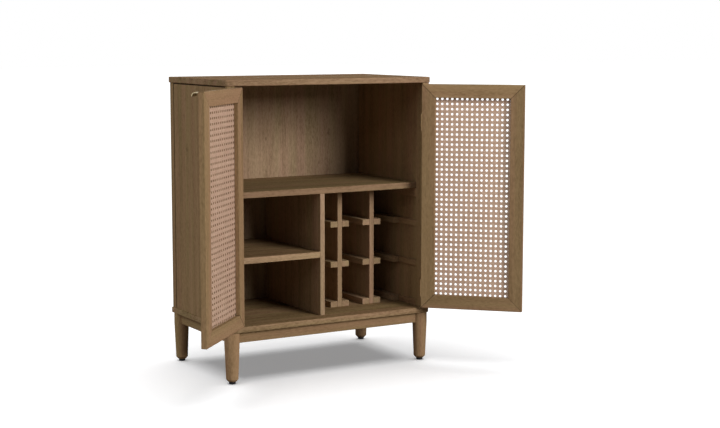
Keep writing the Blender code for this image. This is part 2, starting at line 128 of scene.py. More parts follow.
def ring_faces(rings, count, start=0):
    """Quads between successive rings of count points each."""
    i = np.arange(rings - 1)[:, None] * count + start
    j = np.arange(count)[None, :]
    k = (j + 1) % count
    quads = np.stack([i + j, i + k, i + count + k, i + count + j], axis=-1)
    return quads.reshape(-1, 4).tolist()


# %% [markdown]
# ### Slabs
#
# The rim of a slab is a quarter circle. At an angle t on it the outline is moved inwards
# by r (1 - sin t) while the height falls by r (1 - cos t), so the rim leaves the face and
# meets the edge without a crease.

# %% Outlines and slabs
CRISP = 0.0002
LAP = 0.001


def arc(centre, radius, start, end, steps):
    """Points centre + radius (cos, sin), with the angle from start to end quarter turns."""
    angles = np.linspace(start, end, steps + 1) * math.pi / 2
    return np.column_stack([centre[0] + radius * np.cos(angles), centre[1] + radius * np.sin(angles)])


def box_outline(x0, x1, y0, y1, radius, back=None, steps=3):
    """A rectangle with rounded corners: radius and steps for the two at y0, back for those at y1."""
    back = back or radius
    return np.concatenate([
        arc((x0 + radius, y0 + radius), radius, 2, 3, steps),
        arc((x1 - radius, y0 + radius), radius, 3, 4, steps),
        arc((x1 - back, y1 - back), back, 0, 1, 3),
        arc((x0 + back, y1 - back), back, 1, 2, 3),
    ])


def inward_normals(outline):
    """For each point of a closed outline, the step that moves both its edges inwards by one."""
    ahead = np.roll(outline, -1, axis=0) - outline
    ahead /= np.linalg.norm(ahead, axis=1)[:, None]
    n2 = np.column_stack([-ahead[:, 1], ahead[:, 0]])
    n1 = np.roll(n2, 1, axis=0)
    x, y = outline.T
    area = np.sum(x * np.roll(y, -1) - y * np.roll(x, -1)) / 2
    return math.copysign(1, area) * (n1 + n2) / (1 + np.sum(n1 * n2, axis=1))[:, None]


def slab_points(outline, low, high, rim, steps=3):
    """Rings (u, v, w) of a slab: the outline inset by rim (1 - sin t), at w = high - rim (1 - cos t)."""
    turn = np.linspace(0, math.pi / 2, steps + 1)
    inset = rim * (1 - np.sin(turn))
    drop = rim * (1 - np.cos(turn))
    insets = np.concatenate([inset, inset[::-1]])
    heights = np.concatenate([high - drop, (low + drop)[::-1]])
    rings = outline + insets[:, None, None] * inward_normals(outline)
    w = np.broadcast_to(heights[:, None, None], rings.shape[:2] + (1,))
    return np.concatenate([rings, w], axis=2)


def slab(name, outline, low, high, rim, place, body, material, slot, stands_for=(), steps=3):
    """A slab whose points are put in the cabinet's frame by place(u, v, w): rim and two ends."""
    points = slab_points(np.asarray(outline, float), low, high, rim, steps)
    rings, count = points.shape[:2]
    ends = np.arange(rings * count).reshape(rings, count)[[0, -1]]
    faces = ring_faces(rings, count) + ends.tolist()
    points = place(*points.reshape(-1, 3).T)
    return new_piece(name, points, faces, body, material, stands_for)


def level(u, v, w):
    """Seen from above: u is X, v is the distance behind the top's front edge, and w is Z."""
    return np.column_stack([u, FRONT + v, w])


# %% [markdown]
# ### The doors' own coordinates
#
# A door is easiest to describe shut: a is the distance from its hinge axis towards its
# free edge, b is the depth behind the axis, and z is the height. The real one stands
# open at 135 degrees, so each point is turned about the axis by that angle. With an
# angle of 0 the same coordinates serve the hinge leaves that stay on the cabinet.

# %% Put door pieces where the open door is
def hang(side, angle=OPEN_ANGLE):
    """A function that puts (a, b, z) of a shut door at X, Y, Z of one that is open by an angle."""
    sign, axis = SIDES[side], AXES[side]
    cosine, sine = math.cos(sign * angle), math.sin(sign * angle)

    def place(a, b, z):
        x = -sign * a
        return np.column_stack([axis[0] + x * cosine - b * sine, axis[1] + x * sine + b * cosine, z])

    return place


# %% [markdown]
# ## Finishes
#
# The wood is a stained oak veneer: straight, fine grain with soft darker and lighter
# streaks, thin pores and a knot here and there. One node group draws it with the grain
# along Z, and gives colour, roughness and height. Each board's material turns and moves
# the group's coordinates, so that no two boards show the same streaks.

# %% Small helpers for node trees
def feed(tree, socket, value):
    """Link an input to another socket, or give it a plain value."""
    if isinstance(value, bpy.types.NodeSocket):
        tree.links.new(value, socket)
    else:
        socket.default_value = value


def add_node(tree, kind, values=None, **settings):
    """Add a shader node, set its properties, and feed its inputs by name or number."""
    node = tree.nodes.new(f"ShaderNode{kind}")
    for key, value in settings.items():
        setattr(node, key, value)
    for key, value in (values or {}).items():
        feed(tree, node.inputs[key], value)
    return node


def math_node(tree, operation, first, second=None, clamp=False):
    """A Math node whose inputs are sockets or numbers."""
    values = {0: first} if second is None else {0: first, 1: second}
    return add_node(tree, "Math", values, operation=operation, use_clamp=clamp).outputs[0]


def times(tree, first, second):
    """The product of two sockets or numbers."""
    return math_node(tree, "MULTIPLY", first, second)


def vector_node(tree, operation, first, second):
    """A Vector Math node whose inputs are sockets or values."""
    node = add_node(tree, "VectorMath", {0: first, 1: second}, operation=operation)
    return node.outputs["Value" if operation == "DOT_PRODUCT" else "Vector"]


def noise(tree, place, waves, detail=2.0, roughness=0.5):
    """Noise from 0 to 1, with so many waves per metre along each axis, or along all."""
    waves = tuple(np.broadcast_to(waves, 3).astype(float))
    stretched = vector_node(tree, "MULTIPLY", place, waves)
    values = {"Vector": stretched, "Scale": 1.0, "Detail": detail, "Roughness": roughness}
    return add_node(tree, "TexNoise", values).outputs["Fac"]


def remap(tree, value, low, high, to_low=0.0, to_high=1.0):
    """Map a range of a value to another range, clamped."""
    values = {"Value": value, "From Min": low, "From Max": high, "To Min": to_low, "To Max": to_high}
    return add_node(tree, "MapRange", values).outputs["Result"]


def blend(tree, factor, first, second, mode="MIX"):
    """Mix two colours; factor and colours are sockets or values."""
    values = {0: factor, 6: first, 7: second}
    return add_node(tree, "Mix", values, data_type="RGBA", blend_type=mode).outputs[2]


def new_group(name, inputs, outputs):
    """A shader node group with named kinds of socket: the tree, its inputs and its results."""
    tree = bpy.data.node_groups.new(name, "ShaderNodeTree")
    for in_out, sockets in (("INPUT", inputs), ("OUTPUT", outputs)):
        for socket, kind in sockets.items():
            tree.interface.new_socket(name=socket, in_out=in_out, socket_type=f"NodeSocket{kind}")
    return tree, tree.nodes.new("NodeGroupInput").outputs, tree.nodes.new("NodeGroupOutput").inputs


def use_group(tree, group, **values):
    """Add a node group, feed its inputs by name, and give its outputs."""
    return add_node(tree, "Group", values, node_tree=group).outputs


# %% Draw the wood's figure
WOOD_LIGHT = (0.335, 0.214, 0.118, 1.0)
WOOD_MIDDLE = (0.272, 0.171, 0.091, 1.0)
WOOD_DARK = (0.180, 0.109, 0.055, 1.0)
PORE_COLOUR = (0.110, 0.066, 0.037, 1.0)
OLIVE = (0.955, 0.995, 0.905, 1.0)
ROSE = (1.03, 0.965, 0.985, 1.0)
WANDER = 0.006
PLANK_WIDTH = 0.095
PLANK_SHARE = 0.10
# Each layer: waves per metre across and along the grain, detail, share of the tone.
WOOD_LAYERS = {
    "broad": ((38, 38, 1.6), 3.0, 0.24),
    "fine": ((190, 190, 9.0), 3.0, 0.14),
    "fleck": ((260, 260, 80), 2.0, 0.25),
    "hair": ((950, 950, 15), 2.0, 0.10),
}


def build_wood_group():
    """Streaks, strips of veneer, flecks and pores along Z, as colour, roughness and height."""
    tree, given, result = new_group(
        "wood_figure", {"Vector": "Vector", "Contrast": "Float"},
        {"Color": "Color", "Roughness": "Float", "Height": "Float"},
    )
    # A slow noise moves each point sideways, so that the grain wanders by some millimetres.
    slow = noise(tree, given["Vector"], (9, 9, 1.6), 1.0)
    right, left = (remap(tree, slow, 0.0, 1.0, -reach, reach) for reach in (WANDER, -WANDER))
    sideways = add_node(tree, "CombineXYZ", {"X": right, "Y": left}).outputs[0]
    along = vector_node(tree, "ADD", given["Vector"], sideways)
    strip = vector_node(tree, "SNAP", along, (PLANK_WIDTH, PLANK_WIDTH, 9.0))
    tone = add_node(tree, "TexWhiteNoise", {"Vector": strip}).outputs["Value"]
    total = times(tree, remap(tree, tone, 0, 1, -1, 1), PLANK_SHARE)
    layers = {}
    for layer, (waves, detail, share) in WOOD_LAYERS.items():
        layers[layer] = noise(tree, along, waves, detail, 0.55)
        part = times(tree, remap(tree, layers[layer], 0.28, 0.72, -1, 1), share)
        total = math_node(tree, "ADD", total, part)
    total = times(tree, total, given["Contrast"])
    total = math_node(tree, "ADD", total, 0.5, clamp=True)
    ramp = add_node(tree, "ValToRGB", {"Fac": total})
    ramp.color_ramp.elements[0].color = WOOD_DARK
    ramp.color_ramp.elements[1].color = WOOD_LIGHT
    ramp.color_ramp.elements.new(0.5).color = WOOD_MIDDLE
    hue = remap(tree, noise(tree, along, (30, 30, 1.3)), 0.36, 0.64)
    colour = blend(tree, 1.0, ramp.outputs["Color"], blend(tree, hue, ROSE, OLIVE), "MULTIPLY")
    pores = remap(tree, noise(tree, along, (1500, 1500, 38), 1.0), 0.62, 0.70)
    colour = blend(tree, times(tree, pores, 0.35), colour, PORE_COLOUR)
    feed(tree, result["Color"], colour)
    feed(tree, result["Roughness"], remap(tree, layers["fine"], 0.2, 0.8, 0.54, 0.66))
    hairs = times(tree, layers["hair"], 0.5)
    feed(tree, result["Height"], math_node(tree, "SUBTRACT", hairs, pores))
    return tree


WOOD_GROUP = build_wood_group()
print("wood group nodes:", len(WOOD_GROUP.nodes))

# %% [markdown]
# A knot is where a branch grew: a small dark eye that the grain flows round. A second
# group draws one. With d the distance from the knot's centre, counted in knot sizes and
# shortened along the grain, it pulls the place sideways towards the centre by 0.7
# exp(-d d / 6), so that the streaks widen round the eye, and it gives the eye as a mask.

# %% Draw a knot
KNOT_COLOUR = (0.085, 0.048, 0.026, 1.0)
KNOT_PULL = -0.7
KNOT_RAGGED = 0.45


def build_knot_group():
    """The place bent round one knot, and the knot's eye as a mask."""
    tree, given, result = new_group(
        "wood_knot", {"Vector": "Vector", "Centre": "Vector", "Size": "Float"},
        {"Vector": "Vector", "Eye": "Float"},
    )
    away = vector_node(tree, "SUBTRACT", given["Vector"], given["Centre"])
    short = vector_node(tree, "MULTIPLY", away, (1.0, 1.0, 0.55))
    area = times(tree, given["Size"], given["Size"])
    d2 = math_node(tree, "DIVIDE", vector_node(tree, "DOT_PRODUCT", short, short), area)
    pull = math_node(tree, "EXPONENT", times(tree, d2, -1 / 6))
    pull = times(tree, pull, KNOT_PULL)
    step = vector_node(tree, "MULTIPLY", vector_node(tree, "MULTIPLY", away, (1.0, 1.0, 0.0)), pull)
    feed(tree, result["Vector"], vector_node(tree, "ADD", given["Vector"], step))
    ragged = remap(tree, noise(tree, given["Vector"], 420), 0.3, 0.7, -KNOT_RAGGED, KNOT_RAGGED)
    feed(tree, result["Eye"], remap(tree, math_node(tree, "ADD", d2, ragged), 1.3, 0.3))
    return tree


KNOT_GROUP = build_knot_group()
print("knot group nodes:", len(KNOT_GROUP.nodes))

# %% [markdown]
# Where two members of a door frame meet on the slant, the joint shows as a thin dark
# line. A third group draws one: with P a point on it and N the direction across it, the
# mask is 1 where |(x - P) . N| is less than 0.35 widths and 0 beyond 0.5 widths.

# %% Draw a joint line
SEAM_COLOUR = (0.060, 0.036, 0.021, 1.0)
SEAM_WIDTH = 0.0018


def build_seam_group():
    """A straight line through a point, across a direction, as a mask."""
    tree, given, result = new_group(
        "wood_seam", {"Vector": "Vector", "Point": "Vector", "Across": "Vector"}, {"Line": "Float"}
    )
    away = vector_node(tree, "SUBTRACT", given["Vector"], given["Point"])
    distance = math_node(tree, "ABSOLUTE", vector_node(tree, "DOT_PRODUCT", away, given["Across"]))
    feed(tree, result["Line"], remap(tree, distance, 0.5 * SEAM_WIDTH, 0.35 * SEAM_WIDTH))
    return tree


SEAM_GROUP = build_seam_group()
print("seam group nodes:", len(SEAM_GROUP.nodes))

# %% Start and finish a material
def start_material(name, values):
    """A material, its tree and its Principled shader with plain values set."""
    material = bpy.data.materials.new(name)
    material.use_nodes = True
    shader = material.node_tree.nodes["Principled BSDF"]
    for key, value in values.items():
        shader.inputs[key].default_value = value
    return material, material.node_tree, shader


def finish_surface(tree, shader, colour, roughness, height, strength, distance):
    """Feed a shader its colour and roughness, and a bump of a height that is distance deep."""
    bump = add_node(tree, "Bump", {"Strength": strength, "Distance": distance, "Height": height})
    feed(tree, shader.inputs["Base Color"], colour)
    feed(tree, shader.inputs["Roughness"], roughness)
    feed(tree, shader.inputs["Normal"], bump.outputs["Normal"])


# %% [markdown]
# A board's material joins the three groups. A stain then multiplies the colour: the
# board's own tone, and on some boards painted light and shade as well. Some boards have
# a second one on their upward and downward faces: painted shade, which makes those faces
# darker and warmer than their edges.

# %% One wood material for each board
GRAIN_TO_Z = {
    "across": Matrix.Rotation(-math.pi / 2, 3, "Y"),
    "deep": Matrix.Rotation(math.pi / 2, 3, "X"),
    "upright": Matrix.Identity(3),
}
KNOT_DEPTH = 0.38
SEAM_DEPTH = 0.6


def wood(name, grain, turn=0.0, contrast=1.0, knots=(), seams=(), stain=1.0, faces=None, shine=0.006):
    """A wood material with its grain upright, across or deep, on a board turned about Z.

    knots holds (x, y, z, size) of each knot, on a board whose grain is upright, and seams
    holds a point and a direction across for each joint line. stain multiplies the colour
    everywhere: the board's own tone, and on some boards painted light and shade as well.
    faces multiplies it only where the board looks up or down: painted shade on those faces.
    """
    material, tree, shader = start_material(name, {"Specular IOR Level": shine})
    coordinates = add_node(tree, "TexCoord").outputs
    place, eyes = coordinates["Object"], []
    for *centre, size in knots:
        knot = use_group(tree, KNOT_GROUP, Vector=place, Centre=centre, Size=size)
        place = knot["Vector"]
        eyes.append(knot["Eye"])
    seed = sum(ord(letter) * (number + 3) for number, letter in enumerate(name))
    shift = np.random.default_rng(seed).uniform(1.0, 9.0, 3)
    matrix = GRAIN_TO_Z[grain] @ Matrix.Rotation(-turn, 3, "Z")
    values = {"Vector": place, "Location": shift, "Rotation": matrix.to_euler()}
    along = add_node(tree, "Mapping", values).outputs[0]
    figure = use_group(tree, WOOD_GROUP, Vector=along, Contrast=contrast)
    colour = figure["Color"]
    for eye in eyes:
        colour = blend(tree, times(tree, eye, KNOT_DEPTH), colour, KNOT_COLOUR)
    for point, across in seams:
        seam = use_group(tree, SEAM_GROUP, Vector=coordinates["Object"], Point=point, Across=across)
        colour = blend(tree, times(tree, seam["Line"], SEAM_DEPTH), colour, SEAM_COLOUR)
    # The board's own tone, and on some boards painted light and shade, multiply the colour.
    colour = blend(tree, 1.0, colour, (*np.broadcast_to(stain, 3), 1.0), "MULTIPLY")
    # Painted shade: the faces colour darkens the upward and downward faces.
    if faces is not None:
        normal = add_node(tree, "SeparateXYZ", {0: coordinates["Normal"]}).outputs["Z"]
        flat = remap(tree, math_node(tree, "ABSOLUTE", normal), 0.5, 0.9)
        colour = blend(tree, flat, colour, (*faces, 1.0), "MULTIPLY")
    finish_surface(tree, shader, colour, figure["Roughness"], figure["Height"], 0.35, 0.0002)
    return material


# %% [markdown]
# Cane is the shiny skin of rattan, split into flat strands. Its colour varies a little
# from strand to strand and along each one, with fine fibres down its length. The strands'
# meshes carry a UV map for this: u is the distance along the strand, and v counts across
# the strand and jumps from one strand to the next. The pulls are brushed brass, the
# hinges and screws a darker brass, and the glides black plastic.

# %% Cane, brass and plastic
CANE_DARK, CANE_LIGHT = (0.368, 0.222, 0.143, 1.0), (0.575, 0.395, 0.282, 1.0)
PLASTIC_DARK, PLASTIC_LIGHT = (0.004, 0.004, 0.005, 1.0), (0.011, 0.011, 0.012, 1.0)


def build_cane():
    """Pinkish tan strands with fibres, paler and darker stretches and a soft gloss."""
    material, tree, shader = start_material("cane_strand", {"Specular IOR Level": 0.4})
    strand = add_node(tree, "TexCoord").outputs["UV"]
    patch = times(tree, noise(tree, strand, (18, 1, 1)), 0.7)
    fibre = noise(tree, strand, (60, 9, 1), 3.0, 0.6)
    tone = math_node(tree, "ADD", patch, times(tree, fibre, 0.3))
    colour = blend(tree, remap(tree, tone, 0.28, 0.72), CANE_DARK, CANE_LIGHT)
    finish_surface(tree, shader, colour, remap(tree, fibre, 0.2, 0.8, 0.42, 0.62), fibre, 0.4, 0.0002)
    return material


def build_metal(name, colour, dark, roughness, brush):
    """A metal with fine brushing along Z and faint tarnish."""
    material, tree, shader = start_material(name, {"Metallic": 1.0})
    place = add_node(tree, "TexCoord").outputs["Object"]
    tarnish = remap(tree, noise(tree, place, 60, 3.0), 0.45, 0.75)
    lines = noise(tree, place, brush)
    rough = remap(tree, lines, 0.2, 0.8, roughness - 0.06, roughness + 0.08)
    metal = blend(tree, tarnish, (*colour, 1.0), (*dark, 1.0))
    finish_surface(tree, shader, metal, rough, lines, 0.15, 0.0001)
    return material


def build_plastic():
    """Near-black moulded plastic with a fine dull grain."""
    material, tree, shader = start_material("glide_plastic", {"Specular IOR Level": 0.15})
    grain = noise(tree, add_node(tree, "TexCoord").outputs["Object"], 1800)
    colour = blend(tree, grain, PLASTIC_DARK, PLASTIC_LIGHT)
    finish_surface(tree, shader, colour, remap(tree, grain, 0.3, 0.7, 0.42, 0.6), grain, 0.2, 0.0001)
    return material


CANE = build_cane()
BRASS = build_metal("pull_brass", (0.400, 0.325, 0.200), (0.290, 0.225, 0.130), 0.34, (900, 900, 40))
HINGE_METAL = build_metal(
    "hinge_metal", (0.290, 0.190, 0.095), (0.205, 0.132, 0.066), 0.62, (700, 700, 60)
)
SCREW_METAL = build_metal("screw_metal", (0.270, 0.200, 0.125), (0.180, 0.130, 0.080), 0.48, 900)
GLIDE_PLASTIC = build_plastic()
print("materials for cane, metal and plastic:", len(bpy.data.materials))

# %% [markdown]
# ## Boards that keep their solids
#
# The back, shelves, divider, rack, rails and door frames are flat boards, which their
# solids show well enough. Each gets its own wood material, with the grain along its
# length: upright in posts and panels, across in shelves and rails, deep in the ledges.

# %% Dress the boards
HINGE_TO_EDGE = 0.0014
DOOR_WIDTH = 0.34075
DOOR_FACE_DEPTH = 0.0043
DOOR_THICK = 0.018
FRAME_WIDTH = 0.045
DOOR_STAINS = {"left": 1.03, "right": 0.96}
MEMBER_STAINS = {"right_top_rail": 1.12, "right_free_stile": 0.90}
UPRIGHT_STAIN = (1.05, 1.08, 1.18)
LEDGE_STAIN = (1.13, 1.21, 1.30)
CORNERS = [(edge, end) for end in ("top", "bottom") for edge in ("hinge", "free")]


def dress(node, grain, turn=0.0, **look):
    """Put a wood material of its own on a CAD node."""
    mesh = frame["nodes"][node].data
    mesh.materials.clear()
    mesh.materials.append(wood(f"{node}_wood", grain, turn, **look))


def mitre_corner(side, edge, end):
    """The outer corner (a, z) of a door's mitre, and the signs of a and z along it inwards."""
    low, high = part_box(f"{side}_door_hinge_stile")
    free, top = edge == "free", end == "top"
    corner = np.array([HINGE_TO_EDGE + free * DOOR_WIDTH, high.z if top else low.z])
    return corner, np.array([-1.0 if free else 1.0, -1.0 if top else 1.0])


def mitre_line(side, edge, end):
    """The joint line of a door's corner: a point on it and the direction across it."""
    (a, z), inwards = mitre_corner(side, edge, end)
    ends = hang(side)(np.array([a, a + 1.0]), np.zeros(2), np.array([z, z - inwards.prod()]))
    return tuple(ends[0]), tuple((ends[1] - ends[0]) / math.sqrt(2))


back_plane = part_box("back_panel")[0].y
back_knots = [
    (-0.0205, back_plane, 0.7403, 0.0035),
    (0.2299, back_plane, 0.7640, 0.0035),
    (0.2280, back_plane, 0.7520, 0.0045),
    (0.1890, back_plane, 0.6478, 0.0030),
    (0.1651, back_plane, 0.7407, 0.0030),
]
# The back panel's paler, cooler stain is partly painted light and a painted sheen.
dress("back_panel", "upright", contrast=1.2, knots=back_knots, stain=(1.08, 1.17, 1.32))
dress("divider", "upright", stain=(1.25, 1.38, 1.55))
dress("rack_upright_1", "upright", stain=UPRIGHT_STAIN)
dress("rack_upright_2", "upright", stain=UPRIGHT_STAIN)
# The main shelf's darker stain is painted shade, and so is the faces colour of both shelves.
dress("main_shelf", "across", contrast=1.5, stain=(0.81, 0.83, 0.86), faces=(0.95, 1.00, 0.86))
dress("half_shelf", "across", contrast=1.5, stain=(1.24, 1.30, 1.42), faces=(0.68, 0.66, 0.55))
# The front apron's darker stain is a painted shadow under the base board's edge.
dress("front_apron", "across", stain=(0.86, 0.88, 0.84))
dress("rear_apron", "across")
dress("left_apron", "deep")
dress("right_apron", "deep")
for node in frame["nodes"]:
    if "_ledge_" in node:
        dress(node, "deep", stain=LEDGE_STAIN)
for side, sign in SIDES.items():
    for member in ("hinge_stile", "free_stile", "top_rail", "bottom_rail"):
        grain = "upright" if "stile" in member else "across"
        seams = [mitre_line(side, *ends) for ends in CORNERS if any(word in member for word in ends)]
        stain = MEMBER_STAINS.get(f"{side}_{member}", DOOR_STAINS[side])
        dress(f"{side}_door_{member}", grain, sign * OPEN_ANGLE, seams=seams, stain=stain)
print("boards with their own wood:", sum("_wood" in m.name for m in bpy.data.materials))

# %% [markdown]
# The members of a frame meet on the slant with a hair of air between them. A loose
# tongue, a thin plate along the slant, closes each of these mitres from inside, as on
# the real door, so no light comes through.

# %% Glue tongues into the mitres
TONGUE_HALF = 0.0008
TONGUE_SUNK = 0.0006
TONGUE_ENDS = (0.0009, FRAME_WIDTH - 0.0002)


def tongue_outline(side, edge, end):
    """A thin rectangle in (a, z) along the slant, from the outer corner to the inner one."""
    corner, inwards = mitre_corner(side, edge, end)
    across = np.array([-inwards[1], inwards[0]]) * TONGUE_HALF / math.sqrt(2)
    start, end = (corner + reach * inwards for reach in TONGUE_ENDS)
    return np.array([start - across, end - across, end + across, start + across])


for side, sign in SIDES.items():
    hung = hang(side)
    tongue_wood = wood(f"{side}_tongue_wood", "across", sign * OPEN_ANGLE, stain=0.25)
    for edge, end in CORNERS:
        slab(
            f"{side}_{end}_{edge}_tongue", tongue_outline(side, edge, end),
            DOOR_FACE_DEPTH + TONGUE_SUNK, DOOR_FACE_DEPTH + DOOR_THICK - TONGUE_SUNK, CRISP,
            lambda u, v, w: hung(u, w, v), f"{side}_door", tongue_wood, "wood", steps=1,
        )

# %% [markdown]
# ## Top and base board
#
# Both have the same outline, with two round corners in front. The edge is broken by a
# small round, which catches a thin line of light.

# %% Make the top and the base board
BOARD_RIM = 0.0024
CORNER_STEPS = 16
BACK_CORNER = 0.002
# The faces entries are painted shade: darker, warmer upward and downward faces.
BOARD_STAINS_AND_SHADE = {
    "top": {"stain": (1.02, 1.03, 1.12), "faces": (1.03, 0.97, 0.87)},
    "base_board": {"stain": (1.02, 1.06, 1.09), "faces": (0.87, 0.86, 0.76)},
}
board = box_outline(
    -HALF_WIDTH, HALF_WIDTH, 0.0, REAR - FRONT, CORNER_RADIUS, BACK_CORNER, CORNER_STEPS
)
for node, stains_and_shade in BOARD_STAINS_AND_SHADE.items():
    low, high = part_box(node)
    look = wood(f"{node}_wood", "across", contrast=1.6, shine=0.001, **stains_and_shade)
    slab(f"{node}_panel", board, low.z, high.z, BOARD_RIM, level, "carcass", look, "wood", (node,))
print("top and base board:", len(board), "points round the outline")

# %% [markdown]
# ## Side panels
#
# A side panel is thin with a thicker front edge, rounded outside to follow the top, and
# a groove outside marks off a strip at the rear. One section carried up from the base
# board gives all of that. The last millimetres under the top are set back outside. Dark
# strips lie in this recess and in the groove: painted shade, which makes both read as one
# thin shadow line. Cleats inside carry the shelves and the outer ledges.

# %% Draw the section of a side panel
SIDE_INSET = 0.0035
SIDE_THICK = 0.0215
FRONT_STEP = 0.0065
FRONT_START = 0.002
FRONT_DEPTH = 0.040
REAR_STRIP = 0.026
GROOVE = 0.003
GROOVE_WIDTH = 0.0055
HAIR = 0.0006
EASED = 0.0012
REVEAL_START = 0.012

outer = HALF_WIDTH - SIDE_INSET
inner = outer - SIDE_THICK
post = inner - FRONT_STEP
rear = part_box("back_panel")[1].y - FRONT
strip = rear - REAR_STRIP


def side_outline(crown=False):
    """Section of the right side panel, seen from above; the crown is set back under the top."""
    radius = CORNER_RADIUS - SIDE_INSET
    groove = strip - GROOVE_WIDTH
    before = [(outer, groove - HAIR), (outer - HAIR, groove)]
    if crown:
        before = [(outer, REVEAL_START), (outer - GROOVE, REVEAL_START + HAIR)]
    return np.concatenate([
        arc((post + EASED, FRONT_START + EASED), EASED, 2, 3, 3),
        arc((outer - radius, FRONT_START + radius), radius, 3, 4, CORNER_STEPS),
        before,
        [(outer - GROOVE, groove), (outer - GROOVE, strip)],
        [(outer - HAIR, strip), (outer, strip + HAIR)],
        arc((outer - EASED, rear - EASED), EASED, 0, 1, 3),
        arc((inner + EASED, rear - EASED), EASED, 1, 2, 3),
        [(inner, FRONT_DEPTH)],
        arc((post + EASED, FRONT_DEPTH - EASED), EASED, 1, 2, 3),
    ])


print("side sections:", len(side_outline()), "points")

# %% Make the side panels, their reveals with strips of painted shade, and their cleats
REVEAL_HEIGHT = 0.004
REVEAL_FACE = 0.0009
CLEAT_HEIGHT = 0.030
CLEAT_RIM = 0.001
SEAT = 0.0003

side_knots = {
    "left": [(-outer, 0.2349, 0.8347, 0.0045), (-outer, 0.2145, 0.7246, 0.0050)],
    "right": [(inner, -0.0074, 0.7044, 0.0030)],
}
unders = [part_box(node)[0].z for node in ("main_shelf", "half_shelf")]
under_shelves = [(under - CLEAT_HEIGHT, under - SEAT) for under in unders]
ledge_rows = [tuple(corner.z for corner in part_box(f"wall_ledge_l{row}")) for row in (1, 2, 3)]
cleats = {"left": under_shelves, "right": under_shelves[:1] + ledge_rows}
foot, crown, under_top = base_high.z + SEAT, top_low.z - SEAT - REVEAL_HEIGHT, top_low.z - SEAT
back_face = back_plane - FRONT - SEAT
sunk, face = outer - GROOVE - LAP, outer - REVEAL_FACE


def side_slab(name, outline, low, high, material, stands_for=(), rim=CRISP):
    """A slab on the carcass from the right side's outline, mirrored for the left side."""
    outline = outline * (SIDES[name.split("_")[0]], 1.0)
    slab(name, outline, low, high, rim, level, "carcass", material, "wood", stands_for)


for side in SIDES:
    side_wood = wood(f"{side}_side_wood", "upright", knots=side_knots[side])
    side_slab(f"{side}_side_panel", side_outline(), foot, crown, side_wood, (f"{side}_side",))
    side_slab(f"{side}_side_crown", side_outline(crown=True), crown, under_top, side_wood)
    # Nearly black wood for the strips in the recess and the groove: painted shade.
    painted_shade_wood = wood(f"{side}_reveal_wood", "deep", stain=0.16)
    reveal = box_outline(sunk, face, REVEAL_START + HAIR, strip, CRISP)
    side_slab(f"{side}_reveal_strip", reveal, crown, under_top, painted_shade_wood)
    groove = box_outline(sunk, face, strip - GROOVE_WIDTH, strip, CRISP)
    side_slab(f"{side}_groove_strip", groove, foot, crown, painted_shade_wood)
    cleat_wood = wood(f"{side}_cleat_wood", "deep")
    for number, (low, high) in enumerate(cleats[side], 1):
        outline = box_outline(post, inner, FRONT_DEPTH - LAP, back_face, EASED)
        side_slab(f"{side}_cleat_{number}", outline, low, high, cleat_wood, rim=CLEAT_RIM)

# %% [markdown]
# ## Turned legs and their glides
#
# A leg is turned on a lathe, so its surface is a profile carried round an axis: at an
# angle t, a profile point (r, z) goes to (x + r cos t, y + r sin t, z). Below each leg
# stands a glide: a disc on a stem that slides in the leg's bore.

# %% Carry a profile round an axis
LATHE_STEPS = 64


def turned(name, profile, centre, body, material, slot, stands_for=(), place=None, steps=LATHE_STEPS):
    """A profile of (radius, height) points from the top axis down to the bottom axis, turned."""
    profile = np.asarray(profile, float)
    inside = profile[1:-1]
    angles = np.arange(steps) * 2 * math.pi / steps
    x = centre[0] + inside[:, :1] * np.cos(angles)
    y = centre[1] + inside[:, :1] * np.sin(angles)
    z = np.broadcast_to(inside[:, 1:], x.shape)
    points = np.stack([x, y, z], axis=-1).reshape(-1, 3)
    j = np.arange(steps)
    k = (j + 1) % steps
    pole, last = len(points) + 0 * j, len(points) - steps
    faces = ring_faces(len(inside), steps) + np.column_stack([pole, k, j]).tolist()
    faces += np.column_stack([pole + 1, last + j, last + k]).tolist()
    points = np.concatenate([points, [[*centre, profile[0, 1]], [*centre, profile[-1, 1]]]])
    if place is not None:
        points = place(*points.T)
    return new_piece(name, points, faces, body, material, stands_for)


# %% Turn the legs and glides
LEG_RADIUS = 0.0245
LEG_BREAK = 0.001
TAPER_TOP = 0.131
FOOT_RADIUS = 0.0195
BORE_RADIUS, BORE_TOP = 0.0042, 0.037
STEM_RADIUS = 0.004
DISC_GAP = 0.0003
LEG_STAIN = {"left": 1.15, "right": 1.0}


def leg_profile(top, foot):
    """Straight, then a taper that starts softly, a foot with a rounded edge, and the bore."""
    r, f = LEG_RADIUS, FOOT_RADIUS
    return [
        (0, top), (r - LEG_BREAK, top), (r, top - LEG_BREAK), (r, TAPER_TOP + 0.005),
        (r, TAPER_TOP), (r - 0.0004, TAPER_TOP - 0.009), (f + 0.0002, foot + 0.0085),
        *arc((f - 0.0025, foot + 0.0078), 0.0027, 0, -0.55, 4),
        (f - 0.004, foot + 0.0022), (f - 0.0057, foot + 0.0004), (f - 0.0067, foot),
        (BORE_RADIUS, foot), (BORE_RADIUS, BORE_TOP), (0, BORE_TOP),
    ]


def glide_profile(top, disc):
    """A stem, and below the height disc a disc with rounded edges down to the floor."""
    return [
        (0, top), (STEM_RADIUS - 0.0005, top), (STEM_RADIUS, top - 0.0005), (STEM_RADIUS, disc),
        *arc((0.0095, disc - 0.0015), 0.0015, 1, 0, 4), (0.0110, 0.0022),
        *arc((0.0090, 0.0020), 0.0020, 0, -1, 4), (0, 0),
    ]


